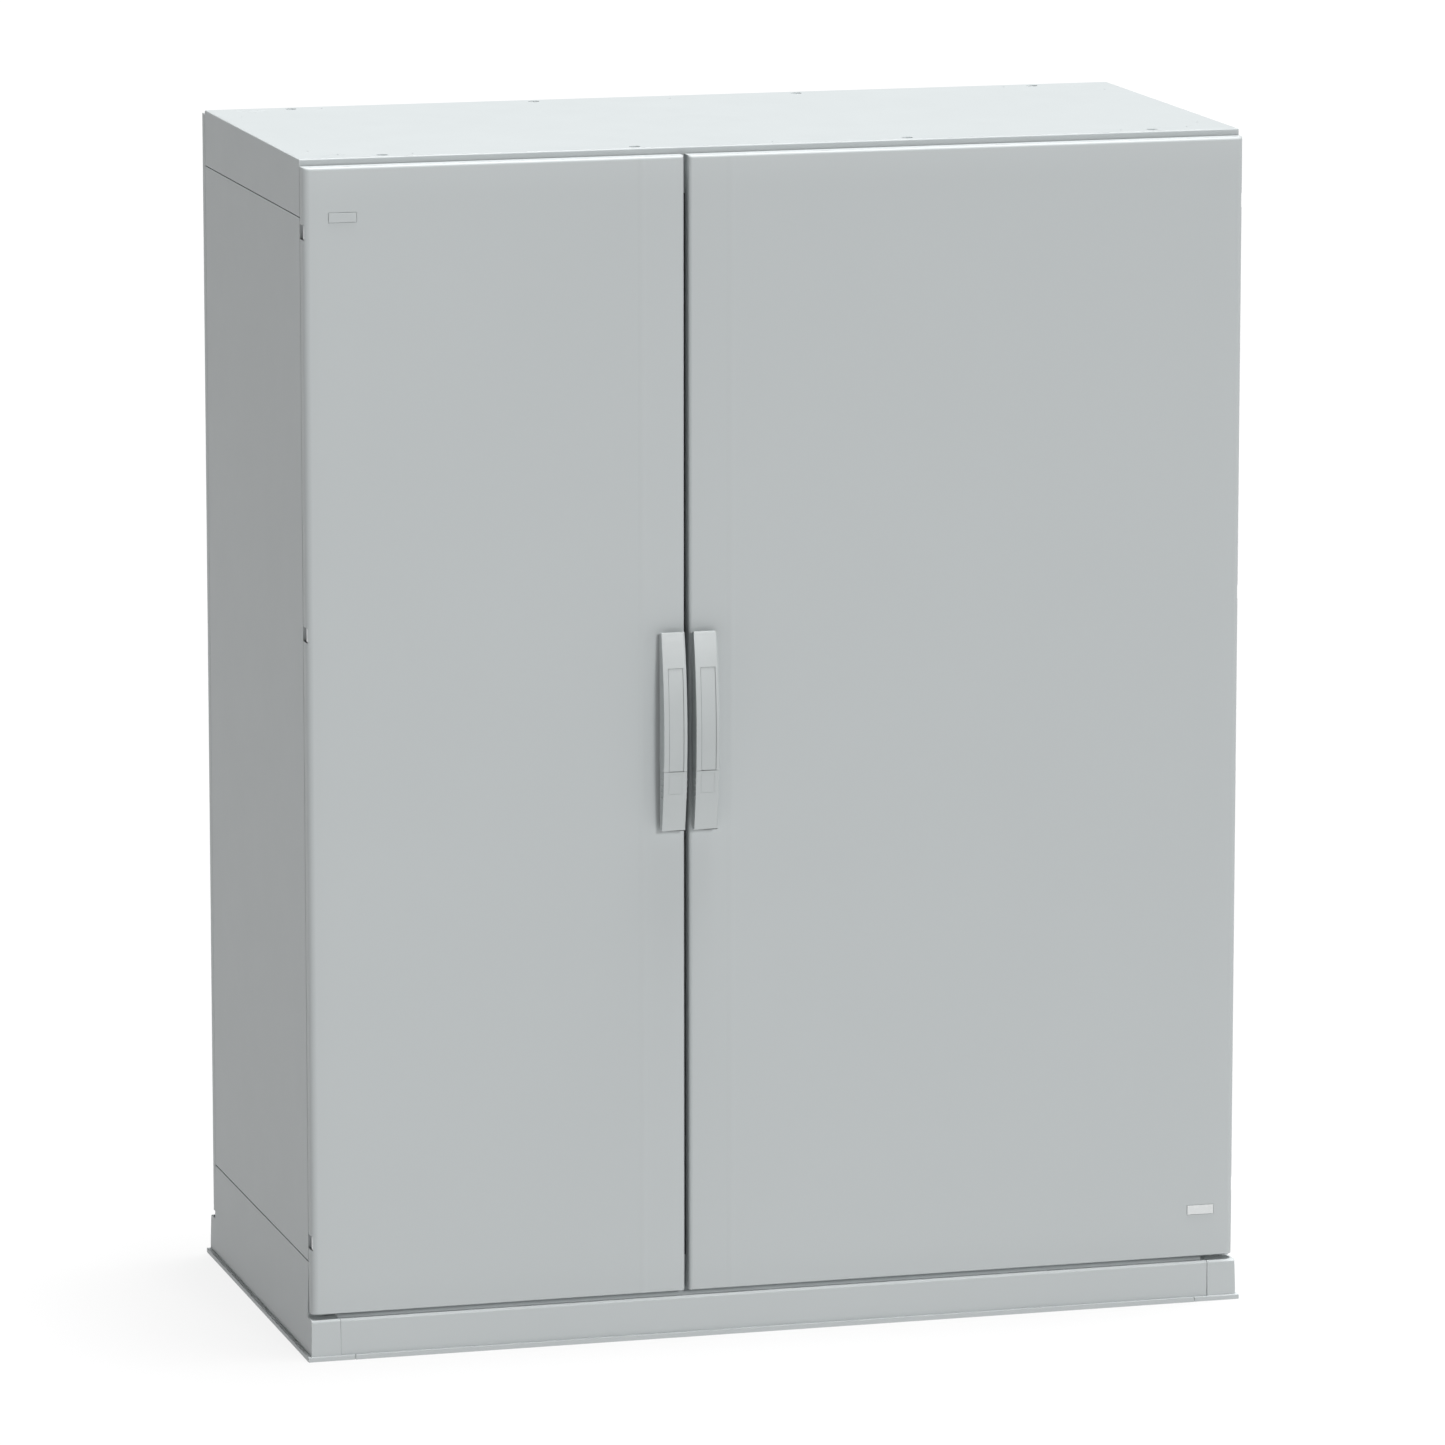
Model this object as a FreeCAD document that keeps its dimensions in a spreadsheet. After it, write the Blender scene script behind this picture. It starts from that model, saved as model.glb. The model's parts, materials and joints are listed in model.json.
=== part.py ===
import FreeCAD, Part
import Sketcher
import math
import os
import re

# Floor-standing switchboard cabinet of moulded glass-reinforced polyester: a roof, two side walls, a rear
# panel and a plinth, closed at the front by two unequal doors. Each door has a swing handle that turns a
# pinion, and the pinion slides an upper and a lower locking rod.
# Axes: +Z up, +X to the right of someone facing the doors, doors towards -Y. The origin is the centre of
# the whole object's footprint, on the floor. Millimetres.

doc = FreeCAD.newDocument("SwitchboardCabinet")
sheet = doc.addObject("Spreadsheet::Sheet", "Sizes")
X_AXIS = FreeCAD.Vector(1, 0, 0)
Y_AXIS = FreeCAD.Vector(0, 1, 0)

SIZES = {
    # carcass
    "body_width": 1250.0, "body_depth": 559.2, "total_height": 1557.4,
    "wall": 4.0, "roof_thick": 5.0, "return_width": 28.0,
    "base_top": 127.0, "roof_bottom": 1484.2, "opening_top": 1490.0, "opening_bottom": 112.0,
    "panel_seam": 1.2, "rear_seam": 2.0,
    # plinth and foot flange
    "plinth_top": 54.0, "plinth_reach": 26.5, "plinth_corner": 36.0, "flange_thick": 6.5,
    "flange_side": 7.4, "flange_reach": 29.6, "foot_width": 62.0, "draft": 3.0,
    "anchor_radius": 7.0, "anchor_x": 585.0, "anchor_y": 240.0,
    # doors
    "door_bottom": 60.3, "door_height": 1488.3, "door_thick": 21.2, "door_seam": 2.0, "door_skin": 4.0,
    "left_width": 498.0, "right_width": 746.0, "side_round": 6.0, "top_round": 3.5,
    "badge_width": 36.0, "badge_height": 12.0, "badge_gap": 0.5, "badge_recess": 0.8,
    # hinges
    "pivot_inset": 6.0, "pivot_depth": 14.0, "knuckle_radius": 4.5, "hinge_pin_radius": 3.0,
    "bracket_half": 8.5, "leaf_height": 8.0,
    # centre post between the two doors
    "post_centre": -125.0, "post_width": 13.0, "post_depth": 40.0,
    # swing handles, in a frame of their own: y outwards is negative, z from the turning axis
    "hub_height": 921.0, "left_hub": -146.2, "right_hub": -103.1,
    "lever_width": 31.5, "lever_top": 14.0, "lever_bottom": -246.0, "lever_back": 3.5,
    "lever_proud": 28.0, "bow_radius": 620.0, "bow_centre": -121.0, "cover_seam": -166.0,
    "lever_corner": 2.0, "label_drop": 46.0, "label_left": -9.2, "label_right": 10.7, "label_gap": 0.4,
    "pin_height": 7.0, "pin_proud": 7.5, "pin_radius": 2.0, "pin_length": 26.0, "shaft_radius": 4.0,
    "slide_angle": 7.5, "slide_proud": 23.5, "key_drop": 20.0, "key_radius": 5.0,
    "rod_width": 4.0, "rod_depth": 8.0, "rod_start": 8.0, "pinion_radius": 6.0, "fit": 0.3,
    # rear panel and inside
    "rear_bottom": 62.0, "rear_top": 1552.0, "rear_thick": 19.4,
    "floor_height": 100.0, "floor_thick": 3.0, "gland_width": 490.0, "gland_front": 105.0,
    "gland_depth": 350.0, "gland_thick": 2.0, "gland_overlap": 15.0,
    "plate_y": 505.0, "plate_thick": 2.5, "plate_width": 1150.0,
    "plate_bottom": 160.0, "plate_height": 1290.0,
    "rail_half": 480.0, "crown_half": 17.5, "web_half": 12.5, "rail_depth": 7.5, "crown_thick": 1.0,
    "bar_half": 420.0, "bar_height": 252.5, "bar_width": 25.0, "bar_thick": 6.0, "bar_standoff": 24.0,
}
# The footprint runs from the front of the handles to the rear edge of the foot flange.
handle_reach = SIZES["door_seam"] + SIZES["door_thick"] + SIZES["lever_proud"]
rear_reach = SIZES["body_depth"] + SIZES["flange_reach"]
SIZES["front_y"] = handle_reach - (handle_reach + rear_reach) / 2.0

for row, (alias, size) in enumerate(SIZES.items(), start=1):
    sheet.set("A%d" % row, alias.replace("_", " "))
    sheet.set("B%d" % row, repr(size))
    sheet.setAlias("B%d" % row, alias)
doc.recompute()

HINGE_HEIGHTS = (155.0, 950.0, 1466.0)
ROOF_BOLTS = [(x, y) for x in (-513.0, -181.7, 181.7, 513.0) for y in (19.0, 540.0)]
GLAND_CENTRES = (-290, 290)
RAIL_HEIGHTS = (480, 820, 1160)
PLATE_FIXINGS = [(x, z) for x in (-530, 530) for z in (220, 800, 1380)]
nodes = []


# ---------------------------------------------------------------- helpers
def bound(formula):
    """Turn a formula in the sheet's words into an expression that reads the sheet."""
    return re.sub(r"[a-z_]+", lambda word: "Sizes." + word.group() if word.group() in SIZES else word.group(),
                  str(formula))


def bind(thing, **formulas):
    """Bind properties of one object to formulas; double underscores stand for dots."""
    for name, formula in formulas.items():
        thing.setExpression(name.replace("__", "."), bound(formula))
    return thing


def move(thing, x=0, y=0, z=0):
    return bind(thing, Placement__Base__x=x, Placement__Base__y=y, Placement__Base__z=z)


def block(x, y, z):
    """A box between two formulas along each axis."""
    box = doc.addObject("Part::Box", "Block")
    bind(box, Length="(%s) - (%s)" % (x[1], x[0]), Width="(%s) - (%s)" % (y[1], y[0]),
         Height="(%s) - (%s)" % (z[1], z[0]))
    return move(box, x[0], y[0], z[0])


def mirrored(sign, low, high):
    """The two ends of a span, turned over when the sign is negative, in rising order."""
    return (low, high) if sign > 0 else ("-(%s)" % high, "-(%s)" % low)


def cylinder(axis, radius, length, x=0, y=0, z=0):
    """A cylinder that starts at a point and runs along +X, +Y or +Z."""
    turned = {"x": FreeCAD.Rotation(Y_AXIS, 90), "y": FreeCAD.Rotation(X_AXIS, -90),
              "z": FreeCAD.Rotation()}[axis]
    tube = doc.addObject("Part::Cylinder", "Cylinder")
    tube.Placement = FreeCAD.Placement(FreeCAD.Vector(), turned)
    return move(bind(tube, Radius=radius, Height=length), x, y, z)


def fuse(*shapes):
    if len(shapes) == 1:
        return shapes[0]
    joined = doc.addObject("Part::MultiFuse", "Fuse")
    joined.Shapes = list(shapes)
    joined.Refine = True
    return joined


def group(shapes):
    """Separate solids that share one node."""
    together = doc.addObject("Part::Compound", "Group")
    together.Links = list(shapes)
    return together


def cut(base, *tools):
    removed = doc.addObject("Part::Cut", "Cut")
    removed.Base = base
    removed.Tool = fuse(*tools)
    return removed


def common(first, second):
    kept = doc.addObject("Part::Common", "Common")
    kept.Base = first
    kept.Tool = second
    return kept


def origin_plane(body, role):
    return next(item for item in body.Origin.OriginFeatures if item.Role == role)


def outline(body, plane, points):
    """A closed sketch through formula points, each held from the origin by two bound distances."""
    sketch = body.newObject("Sketcher::SketchObject", "Outline")
    sketch.AttachmentSupport = [(origin_plane(body, plane), "")]
    sketch.MapMode = "FlatFace"
    count = len(points)
    start = [FreeCAD.Vector(math.cos(2 * math.pi * i / count), math.sin(2 * math.pi * i / count), 0)
             for i in range(count)]
    for i in range(count):
        sketch.addGeometry(Part.LineSegment(start[i], start[(i + 1) % count]), False)
    for i in range(count):
        sketch.addConstraint(Sketcher.Constraint("Coincident", i, 2, (i + 1) % count, 1))
    for i, (across, along) in enumerate(points):
        for kind, formula, place in (("DistanceX", across, start[i].x), ("DistanceY", along, start[i].y)):
            number = sketch.addConstraint(Sketcher.Constraint(kind, -1, 1, i, 1, place))
            sketch.setExpression("Constraints[%d]" % number, bound(formula))
    return sketch


def rectangle(x, y):
    return [(x[0], y[0]), (x[1], y[0]), (x[1], y[1]), (x[0], y[1])]


def prism(plane, points, length, midplane=False, reverse=False):
    """A PartDesign body: one outline padded along the normal of an origin plane."""
    body = doc.addObject("PartDesign::Body", "Prism")
    pad = body.newObject("PartDesign::Pad", "Pad")
    pad.Profile = outline(body, plane, points)
    pad.SideType = "Symmetric" if midplane else "One side"
    pad.Reversed = reverse
    bind(pad, Length=length)
    body.Tip = pad
    return body


def pocket(body, plane, points, length, reverse):
    """Cut an outline out of a body and make sure that it removed something."""
    doc.recompute()
    before = body.Shape.Volume
    hole = body.newObject("PartDesign::Pocket", "Pocket")
    hole.Profile = outline(body, plane, points)
    hole.Reversed = reverse
    bind(hole, Length=length)
    body.Tip = hole
    doc.recompute()
    if not body.Shape.Volume < before - 1.0:
        raise RuntimeError("a pocket removed nothing from " + body.Label)
    return hole


def round_edges(body, radius, wanted):
    """Fillet the edges of the body's last feature whose two ends pass a test."""
    doc.recompute()
    base = body.Tip
    names = ["Edge%d" % (i + 1) for i, edge in enumerate(base.Shape.Edges)
             if wanted([vertex.Point for vertex in edge.Vertexes])]
    fillet = body.newObject("PartDesign::Fillet", "Fillet")
    fillet.Base = (base, names)
    bind(fillet, Radius=radius)
    body.Tip = fillet


def node(name, thing, x=0, y=0, z=0):
    """Name a finished piece and place it; y is counted from the front face of the carcass."""
    thing.Label = name
    move(thing, x, "front_y + (%s)" % y, z)
    nodes.append(thing)
    return thing


# ---------------------------------------------------------------- carcass
HALF = "body_width/2"
BACK = "body_depth"


def roof():
    shell = block(("-" + HALF, HALF), (0, BACK), ("roof_bottom", "total_height"))
    hollow = block(("wall - " + HALF, HALF + " - wall"), ("wall", BACK + " - wall"),
                   ("roof_bottom - 1", "total_height - roof_thick"))
    front_step = block(("wall - " + HALF, HALF + " - wall"), (-1, "wall + 1"),
                       ("roof_bottom - 1", "opening_top"))
    rear_step = block(("wall - " + HALF, HALF + " - wall"), (BACK + " - wall - 1", BACK + " + 1"),
                      ("roof_bottom - 1", "opening_top"))
    holes = [cylinder("z", 4.2, 20, x, y, "total_height - 15") for x, y in ROOF_BOLTS]
    seats = [cylinder("z", 7.5, 5, x, y, "total_height - 2.5") for x, y in ROOF_BOLTS]
    node("roof_panel", cut(shell, hollow, front_step, rear_step, *(holes + seats)))
    caps = [fuse(cylinder("z", 7.2, 2.1, x, y, "total_height - 2.5"),
                 cylinder("z", 4.0, 6.5, x, y, "total_height - 9")) for x, y in ROOF_BOLTS]
    node("roof_bolt_caps", group(caps))


def side_panel(name, side):
    """A side wall with a return folded inwards at the front and at the rear."""
    points = [("0", "0"), ("return_width", "0"), ("return_width", "wall"), ("wall", "wall"),
              ("wall", "body_depth - wall"), ("return_width", "body_depth - wall"),
              ("return_width", "body_depth"), ("0", "body_depth")]
    mirrored = [("%d*(body_width/2 - (%s))" % (side, x), y) for x, y in points]
    wall = prism("XY_Plane", mirrored, "roof_bottom - base_top - 2*panel_seam")
    node(name, wall, z="base_top + panel_seam")


def base_side(name, side):
    """One moulded plinth side: wall, corner returns in front and behind, and the foot flange."""
    skirt = [("draft - plinth_reach", "plinth_top"), ("0.5 - plinth_reach", "plinth_top - 2.5"),
             ("-plinth_reach - 0.8", "0"), ("body_depth + plinth_reach - 1.2", "0"),
             ("body_depth + plinth_reach - 2.5", "plinth_top - 2.5"),
             ("body_depth + plinth_reach - 5", "plinth_top"), ("body_depth", "plinth_top"),
             ("body_depth", "base_top"), ("0", "base_top"), ("0", "plinth_top")]
    profile = prism("YZ_Plane", skirt, "plinth_corner + draft")
    move(profile, "body_width/2 - plinth_corner" if side > 0 else "-body_width/2 - draft")
    # the outer face leans out by the draft between the top of the plinth side and the floor
    lean = prism("XZ_Plane", [("%d*body_width/2" % side, "base_top + 1"),
                              ("%d*body_width/2" % side, "base_top"),
                              ("%d*(body_width/2 + draft + 0.5)" % side, "-1"),
                              ("%d*(body_width/2 + 30)" % side, "-1"),
                              ("%d*(body_width/2 + 30)" % side, "base_top + 1")], 800, reverse=True)
    move(lean, y=-80)
    bay = mirrored(side, "body_width/2 - 100", "body_width/2 - wall")
    inside = block(bay, ("wall", BACK + " - wall"), (-1, "base_top + 1"))
    front_bay = block(bay, ("wall - plinth_reach", "wall + 1"), (-1, "plinth_top - wall"))
    rear_bay = block(bay, (BACK + " - wall - 1", BACK + " + plinth_reach - 2*wall"),
                     (-1, "plinth_top - wall"))
    beyond_return = mirrored(side, "body_width/2 - 100", "body_width/2 - return_width")
    returns = [block(beyond_return, y, ("plinth_top", "base_top + 1"))
               for y in ((-1, "wall + 1"), (BACK + " - wall - 1", BACK + " + 1"))]
    wall = cut(profile, lean, inside, front_bay, rear_bay, *returns)
    foot = block(mirrored(side, "body_width/2 + flange_side - foot_width", "body_width/2 + flange_side"),
                 ("-flange_reach", BACK + " + flange_reach"), (0, "flange_thick"))
    holes = [cylinder("z", "anchor_radius", 20, "%d*anchor_x" % side, "body_depth/2 %s anchor_y" % sign, -5)
             for sign in "+-"]
    node(name, fuse(wall, cut(foot, *holes)))


def plinth_panel(name, front):
    """The long panel between the two plinth sides."""
    points = [("0.5 - plinth_reach", "flange_thick"), ("1.1 - plinth_reach", "plinth_top - 3"),
              ("3.6 - plinth_reach", "plinth_top"), ("9 - plinth_reach", "plinth_top"),
              ("9 - plinth_reach", "plinth_top - 3"), ("4.5 - plinth_reach", "flange_thick")]
    if not front:
        points = [("body_depth - (%s)" % y, z) for y, z in points]
    length = "body_width - 2*plinth_corner - 1"
    panel = prism("YZ_Plane", points, length, midplane=True)
    rail_y = ("-flange_reach", "14 - flange_reach")
    if not front:
        rail_y = (BACK + " + flange_reach - 14", BACK + " + flange_reach")
    rail = block(("0.5 + foot_width - flange_side - " + HALF, HALF + " + flange_side - foot_width - 0.5"),
                 rail_y, (0, "flange_thick"))
    node(name, fuse(panel, rail))


def sill(name, wall_y, ledge_y):
    """The cross member below the opening, with a ledge for the floor panel and an apron into the plinth."""
    across = ("return_width + 0.5 - " + HALF, HALF + " - return_width - 0.5")
    upright = block(across, wall_y, ("plinth_top + 0.5", "opening_bottom"))
    ledge = block(across, ledge_y, ("floor_height - 3", "floor_height"))
    apron = block(("plinth_corner + 1 - " + HALF, HALF + " - plinth_corner - 1"), wall_y,
                  ("plinth_top - 20", "plinth_top + 1"))
    node(name, fuse(upright, ledge, apron))


def floor():
    panel = block(("wall + 0.5 - " + HALF, HALF + " - wall - 0.5"), ("wall + 0.5", BACK + " - wall - 0.5"),
                  ("floor_height", "floor_height + floor_thick"))
    slots = [block(("%d - gland_width/2 + gland_overlap" % x, "%d + gland_width/2 - gland_overlap" % x),
                   ("gland_front + gland_overlap", "gland_front + gland_depth - gland_overlap"),
                   ("floor_height - 5", "floor_height + 10")) for x in GLAND_CENTRES]
    node("floor_panel", cut(panel, *slots))
    knockout_radius, knockout_pitch = 12.5, 80
    top = "floor_height + floor_thick + gland_thick"
    for name, x in zip(("gland_plate_left", "gland_plate_right"), GLAND_CENTRES):
        sheet_metal = block(("%d - gland_width/2" % x, "%d + gland_width/2" % x),
                            ("gland_front", "gland_front + gland_depth"), ("floor_height + floor_thick", top))
        knockouts = [cylinder("z", knockout_radius, 5, x + knockout_pitch * i,
                              "gland_front + gland_depth/2 + %d" % (knockout_pitch * j), top + " - 1")
                     for i in range(-2, 3) for j in (-1, 0, 1)]
        node(name, cut(sheet_metal, *knockouts))
    screw_radius, screw_inset = 4.5, 7
    screws = [cylinder("z", screw_radius, 3, "%d + %d*(gland_width/2 - 8)" % (x, step), y, top)
              for x in GLAND_CENTRES for step in (-1, 0, 1)
              for y in ("gland_front + %d" % screw_inset, "gland_front + gland_depth - %d" % screw_inset)]
    node("gland_plate_screws", group(screws))


def rear_panel():
    body = prism("XZ_Plane", rectangle(("-" + HALF, HALF), ("rear_bottom", "rear_top")), "rear_thick",
                 reverse=True)
    round_edges(body, "side_round", lambda ends: all(p.y > SIZES["rear_thick"] - 1 for p in ends))
    inside = rectangle(("wall - " + HALF, HALF + " - wall"), ("rear_bottom + wall", "rear_top - wall"))
    pocket(body, "XZ_Plane", inside, "rear_thick - wall", False)
    node("rear_panel", body, y=BACK + " + rear_seam")
    ring = block(("1.5 - " + HALF, HALF + " - 1.5"), (BACK, BACK + " + rear_seam"),
                 ("rear_bottom + 2", "rear_top - 2"))
    window = block(("24 - " + HALF, HALF + " - 24"), (BACK + " - 1", BACK + " + rear_seam + 1"),
                   ("opening_bottom - 4", "opening_top + 4"))
    node("rear_panel_seal", cut(ring, window))


def centre_post():
    tube = block(("-post_width/2", "post_width/2"), (0, "post_depth"),
                 ("floor_height + 3.2", "opening_top + 20"))
    bore = block(("2 - post_width/2", "post_width/2 - 2"), (2, "post_depth - 2"), (0, 1700))
    slot = block(("-post_width/2 - 1", "post_width/2 + 1"), (-1, "wall + 0.3"),
                 ("opening_top - 0.3", "opening_top + 30"))
    heel = block(("-post_width/2 - 1", "post_width/2 + 1"), (-1, "wall + 0.3"), (0, "opening_bottom + 0.3"))
    node("centre_post", cut(tube, bore, slot, heel), x="post_centre", y=0.4)


def seal(name, left, right):
    """A rubber frame round one door opening, lying on the front of the carcass."""
    outer = block((left, right), (-1.5, 0), ("opening_bottom - 8", "opening_top + 8"))
    inner = block(("%s + 6" % left, "%s - 6" % right), (-5, 5), ("opening_bottom - 2", "opening_top + 2"))
    node(name, cut(outer, inner))


def mounting_plate():
    body = prism("XZ_Plane", rectangle(("-plate_width/2", "plate_width/2"),
                                       ("plate_bottom", "plate_bottom + plate_height")), "plate_thick")
    hole = pocket(body, "XZ_Plane", rectangle(("60 - plate_width/2", "68 - plate_width/2"),
                                              ("plate_bottom + 60", "plate_bottom + 80")),
                  "plate_thick + 1", True)
    row = body.newObject("PartDesign::LinearPattern", "Row")
    row.Originals = [hole]
    row.Direction = (hole.Profile[0], ["H_Axis"])
    row.Length = 1010.0
    row.Occurrences = 6
    body.Tip = row
    node("mounting_plate", body, y="plate_y")
    brackets = [block((x - 10, x + 10), ("plate_y", "body_depth - wall"), (z - 20, z + 20))
                for x, z in PLATE_FIXINGS]
    node("plate_brackets", group(brackets))
    bolts = [cylinder("y", 6.5, 5, x, "plate_y - plate_thick - 5", z) for x, z in PLATE_FIXINGS]
    node("plate_bolts", group(bolts))


def rails():
    """Three top-hat rails and an earth bar on the mounting plate."""
    face = "plate_y - plate_thick"
    crown_back = face + " - rail_depth + crown_thick"
    hats = []
    for z in RAIL_HEIGHTS:
        crown = block(("-rail_half", "rail_half"), (face + " - rail_depth", crown_back),
                      ("%d - crown_half" % z, "%d + crown_half" % z))
        web = block(("-rail_half", "rail_half"), (crown_back, face),
                    ("%d - web_half" % z, "%d + web_half" % z))
        hats.append(fuse(crown, web))
    node("din_rails", group(hats))
    bar_front = face + " - bar_standoff - bar_thick"
    bar = block(("-bar_half", "bar_half"), (bar_front, face + " - bar_standoff"),
                ("bar_height - bar_width/2", "bar_height + bar_width/2"))
    taps = [cylinder("y", 4, 20, x, bar_front + " - 5", "bar_height") for x in range(-330, 331, 60)]
    node("earth_bar", cut(bar, *taps))
    feet = [block((x - 10, x + 10), (face + " - bar_standoff", face),
                  ("bar_height - 9.5", "bar_height + 9.5")) for x in (-400, 400)]
    node("earth_bar_feet", group(feet))


roof()
side_panel("side_panel_left", -1)
side_panel("side_panel_right", 1)
base_side("base_side_left", -1)
base_side("base_side_right", 1)
plinth_panel("plinth_front_panel", True)
plinth_panel("plinth_rear_panel", False)
sill("front_sill", (0, "wall"), ("wall", 24))
sill("rear_sill", (BACK + " - wall", BACK), (BACK + " - 24", BACK + " - wall"))
floor()
rear_panel()
centre_post()
seal("left_door_seal", "return_width - 12 - " + HALF, "post_centre - post_width/2 + 5.5")
seal("right_door_seal", "post_centre + post_width/2 - 5.5", HALF + " - return_width + 12")
mounting_plate()
rails()


# ---------------------------------------------------------------- doors
DOORS = {
    "left": {"hinge": "-body_width/2", "width": "left_width", "inward": 1, "hub": "left_hub",
             "badge": (-574.5, 1484.5)},
    "right": {"hinge": "body_width/2", "width": "right_width", "inward": -1, "hub": "right_hub",
              "badge": (579.3, 123.7)},
}
FACE_Y = "-door_seam - door_thick"


def span(door, near, far):
    """Two positions across a door, counted from its hinge edge towards its free edge, in rising order."""
    ends = ("%s + %d*(%s)" % (door["hinge"], door["inward"], near),
            "%s + %d*(%s)" % (door["hinge"], door["inward"], far))
    return ends if door["inward"] > 0 else (ends[1], ends[0])


def door_panel(side, door):
    """A tray: a moulded skin with walls turned back all round, open towards the inside."""
    body = prism("XZ_Plane", rectangle(span(door, 0, door["width"]),
                                       ("door_bottom", "door_bottom + door_height")), "door_thick")
    front = -SIZES["door_thick"] + 1
    top = SIZES["door_bottom"] + SIZES["door_height"]

    def upright(ends):
        return all(p.y < front for p in ends) and abs(ends[0].z - ends[-1].z) > 100

    def level(ends):
        inside = min(abs(ends[0].z - top), abs(ends[0].z - SIZES["door_bottom"])) < 1
        return inside and all(p.y < front + 2 for p in ends) and abs(ends[0].x - ends[-1].x) > 100

    round_edges(body, "side_round", upright)
    round_edges(body, "top_round", level)
    pocket(body, "XZ_Plane", rectangle(span(door, "wall", door["width"] + " - wall"),
                                       ("door_bottom + wall", "door_bottom + door_height - wall")),
           "door_thick - door_skin", True)
    notches = [block(span(door, near, "wall + 0.1"), ("door_skin - door_thick", 1), (z - half, z + half))
               for z in HINGE_HEIGHTS for near, half in (("-1", 9.5), ("1.2", 20))]
    shaft = cylinder("y", "shaft_radius + 0.4", 20, door["hub"], "-door_thick - 5", "hub_height")
    x, z = door["badge"]
    recess = block(("%s - badge_width/2 - badge_gap" % x, "%s + badge_width/2 + badge_gap" % x),
                   ("-door_thick - 1", "badge_recess - door_thick"),
                   ("%s - badge_height/2 - badge_gap" % z, "%s + badge_height/2 + badge_gap" % z))
    node(side + "_door_panel", cut(body, shaft, recess, *notches), y="-door_seam")
    plate = block((0, "badge_width"), (0, 1.2), (0, "badge_height"))
    node(side + "_door_plate", plate, x="%s - badge_width/2" % x, y=FACE_Y + " - 0.4",
         z="%s - badge_height/2" % z)


def stiffener(side, door):
    """A square-section frame bonded inside the door, between the hinges and the lock."""
    far = "%d*(%s - %s) - 13" % (door["inward"], door["hub"], door["hinge"])
    depth = ("door_skin - door_thick", "-1")
    low, high = "door_bottom + 14", "door_bottom + door_height - 14"
    bars = [block(span(door, 22, 42), depth, (low, high)),
            block(span(door, far + " - 20", far), depth, (low, high)),
            block(span(door, 22, far), depth, (low, low + " + 20")),
            block(span(door, 22, far), depth, (high + " - 20", high))]
    node(side + "_door_stiffener", fuse(*bars), y="-door_seam")


def hinge_leaves(side, door):
    """Two knuckles per hinge on the door, above and below the bracket's own knuckle."""
    pivot_x = "%s + %d*pivot_inset" % (door["hinge"], door["inward"])
    leaves = []
    for z in HINGE_HEIGHTS:
        for low in ("%s + bracket_half + 0.5" % z, "%s - bracket_half - 0.5 - leaf_height" % z):
            web = block(span(door, "wall", 21), ("-door_seam - door_thick + door_skin", "-pivot_depth"),
                        (low, low + " + leaf_height"))
            knuckle = cylinder("z", "knuckle_radius", "leaf_height", pivot_x, "-pivot_depth", low)
            bore = cylinder("z", "hinge_pin_radius + 0.06", "leaf_height + 2", pivot_x, "-pivot_depth",
                            low + " - 1")
            leaves.append(cut(fuse(web, knuckle), bore))
    node(side + "_hinge_leaves", group(leaves))


def hinges():
    """The carcass side of all six hinges: bracket and pin."""
    brackets, pins = [], []
    for door in DOORS.values():
        pivot_x = "%s + %d*pivot_inset" % (door["hinge"], door["inward"])
        for z in HINGE_HEIGHTS:
            bottom = "%s - bracket_half" % z
            height = (bottom, "%s + bracket_half" % z)
            arm = block(span(door, "pivot_inset - 2.5", "pivot_inset + 4"), ("-pivot_depth", 0), height)
            pad = block(span(door, "pivot_inset - 2.5", 15.5), (-1.4, 0), height)
            knuckle = cylinder("z", "knuckle_radius", "2*bracket_half", pivot_x, "-pivot_depth", bottom)
            bore = cylinder("z", "hinge_pin_radius", "2*bracket_half + 2", pivot_x, "-pivot_depth",
                            bottom + " - 1")
            brackets.append(cut(fuse(arm, pad, knuckle), bore))
            pins.append(cylinder("z", "hinge_pin_radius", 36, pivot_x, "-pivot_depth", z - 18))
    node("hinge_brackets", group(brackets))
    node("hinge_pins", group(pins))


def rod_strikers():
    """Plates behind the front wall that the hooked ends of the rods slide behind."""
    plates = []
    for door in DOORS.values():
        across = tuple("%s + %s" % (door["hub"], end) for end in mirrored(door["inward"], -15.5, 2.5))
        for height in (("opening_top + 2", "opening_top + 40"), ("floor_height + 3.5", "opening_bottom - 2")):
            plates.append(block(across, ("wall", "wall + 3"), height))
    node("rod_strikers", group(plates))


# ---------------------------------------------------------------- handles and locks
# Built about the turning axis: the door's face is y = 0 and the lever stands out towards -y.
def handle_node(name, door, thing):
    node(name, thing, x=door["hub"], y=FACE_Y, z="hub_height")


def bow(depth):
    """The large cylinder whose surface is the bowed front of the lever, a given depth below it."""
    return cylinder("x", "bow_radius - (%s)" % depth, 60, -30, "bow_radius - lever_proud", "bow_centre")


def slope(z):
    """How far the sliding face of the lock cover stands out at a height."""
    return "slide_proud + ((%s) - cover_seam)*tan(slide_angle)" % z


def corner_cut(high, side):
    """Takes one corner off the end of the lever, seen from the front."""
    edge, out, back = ("lever_top", "+", "-") if high else ("lever_bottom", "-", "+")
    points = [("%d*(lever_width/2 + 1)" % side, "%s %s lever_corner" % (edge, back)),
              ("%d*(lever_width/2 + 1)" % side, "%s %s 1" % (edge, out)),
              ("%d*(lever_width/2 - lever_corner)" % side, "%s %s 1" % (edge, out))]
    return prism("XZ_Plane", points, 60)


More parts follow.
